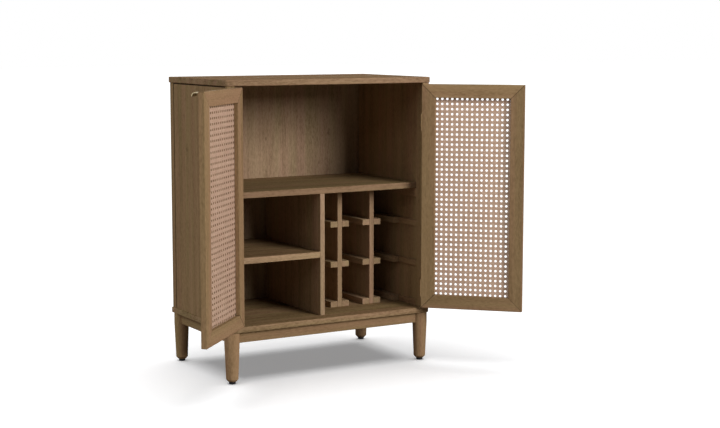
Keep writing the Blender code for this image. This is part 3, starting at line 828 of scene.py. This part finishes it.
for side in SIDES:
    for end in ("front", "rear"):
        node, body = f"{end}_{side}_leg", f"{end}_{side}_glide"
        low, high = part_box(node)
        centre = ((low.x + high.x) / 2, (low.y + high.y) / 2)
        leg = leg_profile(high.z, low.z)
        leg_wood = wood(f"{node}_wood", "upright", stain=LEG_STAIN[side])
        turned(f"{node}_turned", leg, centre, "carcass", leg_wood, "wood", (node,))
        glide = glide_profile(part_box(body)[1].z, low.z - DISC_GAP)
        turned(f"{body}_foot", glide, centre, body, GLIDE_PLASTIC, "glides", (body,))
print("legs and glides turned with", LATHE_STEPS, "steps")

# %% [markdown]
# ## Cane panels
#
# Cane webbing is woven in four directions: pairs of upright and of level strands make a
# square grid, and single strands run both ways on the slant, over the level pairs and
# under the upright ones or the other way round. They cross the pairs half way between the
# grid's knots and cut the corners off each square, which leaves an eight-sided hole.
#
# With u and v counting the grid's squares, an upright pair i lies at height
# b (-1)^i cos(pi v) and a level pair j at -b (-1)^j cos(pi u). The slanted strands
# lie at a cos(2 pi v) one way and -a cos(2 pi v) the other.

# %% Weave the cane
CANE_PITCH = 0.01673
FIRST_KNOT = (np.array([0.25, 0.17]) - 0.5) * CANE_PITCH
PAIR_WIDTH = 0.0042
PAIR_GAP = 0.0004
SLANT_WIDTH = 0.0040
STRAND_THICK = 0.0005
PAIR_LIFT = 0.00024
SLANT_LIFT = 0.00044
CANE_DEPTH = 0.0083
GRIP = 0.0045


def ribbon(path, across, width):
    """Rings of six points round a flat strand: +-w/2 at the middle and +-0.3 w at +-t/2."""
    share = np.array([-0.5, -0.3, 0.3, 0.5, 0.3, -0.3]) * width
    lift = np.array([0, 1, 1, 0, -1, -1]) * STRAND_THICK / 2
    section = share[:, None] * across + lift[:, None] * (0.0, 1.0, 0.0)
    return path[:, None] + section[None]


def weave(name, strands, body, place, stands_for=()):
    """Join strands, given as (path (n, 3), direction across, width), into one mesh with UVs."""
    points, faces, uv = [], [], []
    start = 0
    for number, (path, across, width) in enumerate(strands):
        n = len(path)
        points.append(ribbon(path, across, width).reshape(-1, 3))
        faces += ring_faces(n, 6, start)
        length = np.concatenate([[0], np.cumsum(np.linalg.norm(np.diff(path, axis=0), axis=1))])
        shift, offset = number * 1.7, number * 7.31
        i = np.repeat(np.arange(n - 1), 6)[:, None] + (0, 0, 1, 1)
        j = np.tile(np.arange(6), n - 1)[:, None] + (0, 1, 1, 0)
        uv.append(np.stack([length[i] + shift, j / 6 + offset], axis=-1).reshape(-1, 2))
        for ring in (start, start + (n - 1) * 6):
            faces.append(list(range(ring, ring + 6)))
            uv.append(np.tile([[shift, offset]], (6, 1)))
        start += n * 6
    points = place(*np.concatenate(points).T)
    return new_piece(name, points, faces, body, CANE, stands_for, np.concatenate(uv))


def strand_span(size):
    """Where strands end in the frame's groove, in pitches from the first knot: low and high (u, v)."""
    return (-GRIP - FIRST_KNOT) / CANE_PITCH, (size + GRIP - FIRST_KNOT) / CANE_PITCH


def panel_path(corner, u, v, lift):
    """(a, b, z) of a strand, u pitches from the hinge side, v down from the top, and lifted."""
    a = corner[0] + FIRST_KNOT[0] + u * CANE_PITCH
    z = corner[1] - FIRST_KNOT[1] - v * CANE_PITCH
    return np.column_stack(np.broadcast_arrays(a, CANE_DEPTH + lift, z))


def straight_strands(corner, size):
    """The upright and level pairs of a panel."""
    low, high = strand_span(size)
    spread = (PAIR_WIDTH + PAIR_GAP) / 2 / CANE_PITCH
    steps = ((high - low) * 4).astype(int)
    strands = []
    for kind, across, first in ((0, (1.0, 0, 0), PAIR_LIFT), (1, (0, 0, 1.0), -PAIR_LIFT)):
        along = np.linspace(low[1 - kind], high[1 - kind], steps[1 - kind])
        for i in range(math.ceil(low[kind]), math.floor(high[kind]) + 1):
            lift = first * (-1) ** i * np.cos(math.pi * along)
            for shift in (-spread, spread):
                u, v = (along, i + shift) if kind else (i + shift, along)
                strands.append((panel_path(corner, u, v, lift), across, PAIR_WIDTH))
    return strands


def slanted_strands(corner, size):
    """The single strands on both slants, u = k + 1/2 + v and u = k + 1/2 - v."""
    low, high = strand_span(size)
    strands = []
    for slope in (1, -1):
        ends = sorted((low[1] * slope, high[1] * slope))
        for k in range(math.floor(low[0] - ends[1]), math.ceil(high[0] - ends[0]) + 1):
            left = max(ends[0] + k + 0.5, low[0])
            right = min(ends[1] + k + 0.5, high[0])
            if right - left < 0.3:
                continue
            u = np.linspace(left, right, max(3, int((right - left) * 4) + 1))
            v = (u - k - 0.5) * slope
            lift = slope * SLANT_LIFT * np.cos(2 * math.pi * v)
            across = np.array([slope, 0, 1.0]) / math.sqrt(2)
            strands.append((panel_path(corner, u, v, lift), across, SLANT_WIDTH))
    return strands


for side in SIDES:
    low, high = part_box(f"{side}_door_hinge_stile")
    corner = np.array([HINGE_TO_EDGE, high.z]) + (FRAME_WIDTH, -FRAME_WIDTH)
    size = np.array([DOOR_WIDTH, high.z - low.z]) - 2 * FRAME_WIDTH
    pairs, slants = straight_strands(corner, size), slanted_strands(corner, size)
    body = f"{side}_door"
    pairs = weave(f"{side}_cane_pairs", pairs, body, hang(side), (f"{side}_door_cane",))
    slants = weave(f"{side}_cane_slants", slants, body, hang(side))
    print(side, "cane quads:", len(pairs.data.polygons), len(slants.data.polygons))

# %% [markdown]
# ## Pulls
#
# Each pull is a strip of brass let into a slot just under the top edge of the door and
# bent down over the front into a lip. Its section, an outer and an inner arc about one
# centre, is carried across the strip's width.

# %% Bend the pulls
PULL_THICK = 0.0025
PULL_REACH = 0.0225
PULL_DROP = 0.0125
PULL_FLANGE = 0.010
PULL_BEND = 0.0110
PULL_SUNK = 0.0011
PULL_WIDTH = 0.040
PULL_TO_END = 0.005
PULL_RIM = 0.0004


def pull_section():
    """(depth b, height below the door's top) of the strip, as a closed outline."""
    front = DOOR_FACE_DEPTH - PULL_REACH
    centre = (front + PULL_BEND, -PULL_BEND)
    outer_arc = arc(centre, PULL_BEND, 1, 2, 14)
    inner_arc = arc(centre, PULL_BEND - PULL_THICK, 2, 1, 14)
    rear = DOOR_FACE_DEPTH + PULL_FLANGE
    lip = front + PULL_THICK / 2
    tip = arc((lip, -PULL_DROP + PULL_THICK / 2), PULL_THICK / 2, 2, 4, 6)
    return np.concatenate([[(rear, -PULL_THICK), (rear, 0)], outer_arc, tip, inner_arc])


for side in SIDES:
    pull_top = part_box(f"{side}_door_hinge_stile")[1].z - PULL_SUNK
    far = HINGE_TO_EDGE + DOOR_WIDTH - PULL_TO_END
    hung = hang(side)
    slab(
        f"{side}_pull_strip", pull_section(), far - PULL_WIDTH, far, PULL_RIM,
        lambda u, v, w: hung(w, u, pull_top + v), f"{side}_door", BRASS, "pulls",
        (f"{side}_door_pull",), steps=2,
    )
print("pull section:", len(pull_section()), "points")

# %% [markdown]
# ## Butt hinges
#
# Each hinge has two leaves that share a barrel of three knuckles: the frame leaf on the
# cabinet's front edge has the outer two and holds the pin, and the door leaf on the
# door's edge has the middle one. Three countersunk screws hold every leaf. Their heads
# are almost flush, because the leaves lie close together when the door is shut.

# %% Make the leaves of a hinge
KNUCKLE_RADIUS = 0.0032
KNUCKLE_ROUND = 0.0005
KNUCKLE_GAP = 0.00015
LEAF_NEAR = 0.0043
LEAF_FAR = 0.0213
LEAF_RIM = 0.0003
LEAF_CORNER = 0.0025
NECK_CORNER = 0.0004


def leaf(name, faces, zs, knuckles, place, body, node):
    """A leaf's plate between two distances, with a knuckle and its neck at each height."""
    def upright(u, v, w):
        return place(w, u, v)

    plate = box_outline(LEAF_NEAR, LEAF_FAR, *zs, LEAF_CORNER)
    kind = body, HINGE_METAL, "hinges"
    slab(f"{name}_plate", plate, *faces, LEAF_RIM, upright, *kind, (node,), 2)
    r, e = KNUCKLE_RADIUS, KNUCKLE_ROUND
    for number, (low, high) in enumerate(knuckles, 1):
        profile = [(0, high), (r - e, high), (r, high - e), (r, low + e), (r - e, low), (0, low)]
        turned(f"{name}_knuckle_{number}", profile, (0.0, 0.0), *kind, (), place, 32)
        neck = box_outline(0.0, LEAF_NEAR + LAP, low, high, NECK_CORNER)
        slab(f"{name}_neck_{number}", neck, *faces, LEAF_RIM, upright, *kind, (), 2)


# %% Screw the hinges on
SCREW_PLACES = [(0.0105, 0.010), (0.0155, 0.030), (0.0105, 0.050)]
SCREW_HEAD = [
    (0, 0.00005), (0.0006, 0.00005), (0.0011, 0.0002), (0.0024, 0.00015), (0.0027, 0.0), (0, -0.0006),
]
FRAME_FACES = (-0.0036, -0.0020)
DOOR_FACES = (-0.0015, 0.0011)


def screws(name, face, outward, bottom, place, body):
    """Three countersunk screw heads with a dimple, on the leaf's face at distance face."""
    for number, (column, row) in enumerate(SCREW_PLACES, 1):
        def put(x, y, h, column=column, row=row):
            return place(face + outward * h, column + x, bottom + row + y)

        head = f"{name}_screw_{number}"
        turned(head, SCREW_HEAD, (0.0, 0.0), body, SCREW_METAL, "hinges", (), put, 24)


for side in SIDES:
    for where in ("upper", "lower"):
        name = f"{side}_{where}"
        low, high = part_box(f"{name}_frame_leaf")
        third = (high.z - low.z) / 3
        cuts = (low.z + third, low.z + 2 * third)
        ends = [(low.z, cuts[0] - KNUCKLE_GAP), (cuts[1] + KNUCKLE_GAP, high.z)]
        middle = [(cuts[0] + KNUCKLE_GAP, cuts[1] - KNUCKLE_GAP)]
        for part, faces, knuckles, place, body, face, outward in (
            ("frame", FRAME_FACES, ends, hang(side, 0.0), "carcass", FRAME_FACES[1], 1.0),
            ("door", DOOR_FACES, middle, hang(side), f"{side}_door", DOOR_FACES[0], -1.0),
        ):
            node = f"{name}_{part}_leaf"
            leaf(f"{name}_{part}", faces, (low.z, high.z), knuckles, place, body, node)
            screws(f"{name}_{part}", face, outward, low.z, place, body)

# %% [markdown]
# ## Floor, light and camera
#
# The picture has a white floor with a soft grey shadow, and a cabinet lit from a low
# angle, whose top is no brighter than its front. No one lamp gives both, so the floor has
# a lamp of its own, wide and straight overhead: light linking keeps it off the cabinet,
# which still casts its shadow there, and keeps the cabinet's lamps off the floor. The
# floor adds a little light to what the camera sees, which lifts the shadow to its grey,
# and is darker to the light that bounces from it.

# %% Lay the floor
WHITE = (1.0, 1.0, 1.0, 1.0)
FLOOR_REACH = 40.0
FLOOR_LIFT = 0.27
FLOOR_WHITE = (0.97, 0.97, 0.97, 1.0)
FLOOR_BOUNCE = (0.29, 0.25, 0.21, 1.0)


def camera_share(tree):
    """1 for rays from the camera, a mirror or glass, else 0."""
    ray = add_node(tree, "LightPath").outputs
    seen = math_node(tree, "ADD", ray["Is Camera Ray"], ray["Is Glossy Ray"])
    return math_node(tree, "ADD", seen, ray["Is Transmission Ray"], clamp=True)


def build_floor():
    """A large level sheet under the cabinet."""
    mesh = bpy.data.meshes.new("studio_floor")
    corners = np.array([(-1, -1, 0), (1, -1, 0), (1, 1, 0), (-1, 1, 0)]) * FLOOR_REACH
    mesh.from_pydata(corners, [], [(0, 1, 2, 3)])
    floor = new_object("studio_floor", mesh)
    values = {"Roughness": 1.0, "Specular IOR Level": 0.0, "Emission Color": WHITE}
    material, tree, shader = start_material("studio_floor_white", values)
    share = camera_share(tree)
    feed(tree, shader.inputs["Base Color"], blend(tree, share, FLOOR_BOUNCE, FLOOR_WHITE))
    feed(tree, shader.inputs["Emission Strength"], times(tree, share, FLOOR_LIFT))
    mesh.materials.append(material)
    return floor


STUDIO_FLOOR = build_floor()
print("floor:", STUDIO_FLOOR.name)

# %% [markdown]
# A large softbox stands in front on the right. The rest of the light comes from wide,
# round patches of sky: two on the left, and a low one behind that shines through the
# cane. It gives no highlights, or the flat top would mirror it as a grey sheen.

# %% Light it
FILL_COLOUR = (0.82, 0.95, 1.20, 1.0)
FILL_STRENGTH = 0.05
AIM = Vector((0, 0, 0.45))
FLOOR_SKY, WIDE_SKY = math.radians(68), math.radians(40)


def build_world():
    """White to the camera, and a faint even fill to everything else."""
    world = bpy.data.worlds.new("studio")
    bpy.context.scene.world = world
    world.use_nodes = True
    tree = world.node_tree
    background = tree.nodes["Background"].inputs
    share = camera_share(tree)
    feed(tree, background["Color"], blend(tree, share, FILL_COLOUR, WHITE))
    feed(tree, background["Strength"], remap(tree, share, 0, 1, FILL_STRENGTH, 1.0))


def floor_collection(name, state):
    """A collection of the floor alone, for a light to reach or to leave out."""
    collection = bpy.data.collections.new(name)
    collection.objects.link(STUDIO_FLOOR)
    collection.collection_objects[0].light_linking.link_state = state
    return collection


ONLY_FLOOR = floor_collection("only_floor", "INCLUDE")
ALL_BUT_FLOOR = floor_collection("all_but_floor", "EXCLUDE")


def lamp(name, kind, azimuth, elevation, power, colour, distance=0.0, reach=ALL_BUT_FLOOR, **shape):
    """A lamp aimed at the cabinet; azimuth is counted from the front to the right."""
    data = bpy.data.lights.new(name, kind)
    data.energy, data.color = power, colour
    for key, value in shape.items():
        setattr(data, key, value)
    light = new_object(name, data)
    a, e = math.radians(azimuth), math.radians(elevation)
    away = Vector((math.sin(a) * math.cos(e), -math.cos(a) * math.cos(e), math.sin(e)))
    light.location = AIM + away * distance
    light.rotation_mode = "QUATERNION"
    light.rotation_quaternion = away.to_track_quat("Z", "Y")
    light.light_linking.receiver_collection = reach
    return light


build_world()
lamp("floor_light", "SUN", 0, 90, 2.95, (1.0, 1.0, 1.0), reach=ONLY_FLOOR, angle=FLOOR_SKY)
lamp("front_lamp", "AREA", 20, 22, 460, (1.0, 1.0, 1.04), 7.0, shape="RECTANGLE", size=3.2, size_y=2.8)
lamp("left_light", "SUN", -97, 42, 1.15, (0.90, 1.0, 1.0), angle=WIDE_SKY)
lamp("left_front_light", "SUN", -60, 35, 0.40, (0.97, 1.0, 1.0), angle=WIDE_SKY)
lamp("back_light", "SUN", 170, 8, 0.6, (1.0, 1.0, 1.0), angle=WIDE_SKY).visible_glossy = False

# %% [markdown]
# The camera stands where the edges of the boards, legs and doors line up with those of
# the photograph: its place, angles and focal length were solved from them.

# %% Set up the camera
CAMERA_PLACE = Vector((-2.3365, -4.1119 + FRONT, 1.1036))
YAW, PITCH, ROLL = 0.53539, 0.12211, 0.001
FOCAL_PIXELS, IMAGE_WIDTH, SENSOR = 1472.4, 720, 36.0


def build_camera():
    """Look along (sin yaw cos pitch, cos yaw cos pitch, -sin pitch), rolled by a hair."""
    flat = math.cos(PITCH)
    ahead = Vector((math.sin(YAW) * flat, math.cos(YAW) * flat, -math.sin(PITCH)))
    right = Vector((math.cos(YAW), -math.sin(YAW), 0.0))
    side = right * math.cos(ROLL) + right.cross(ahead) * math.sin(ROLL)
    data = bpy.data.cameras.new("camera")
    data.sensor_width = SENSOR
    data.lens = FOCAL_PIXELS / IMAGE_WIDTH * SENSOR
    data.clip_end = 100.0
    camera = new_object("camera", data)
    matrix = Matrix((side, side.cross(ahead), -ahead)).transposed()
    camera.matrix_world = Matrix.Translation(CAMERA_PLACE) @ matrix.to_4x4()
    bpy.context.scene.camera = camera
    print("lens:", round(data.lens, 2), "mm")


build_camera()
bpy.context.scene.view_settings.view_transform = "Standard"
bpy.context.view_layer.update()
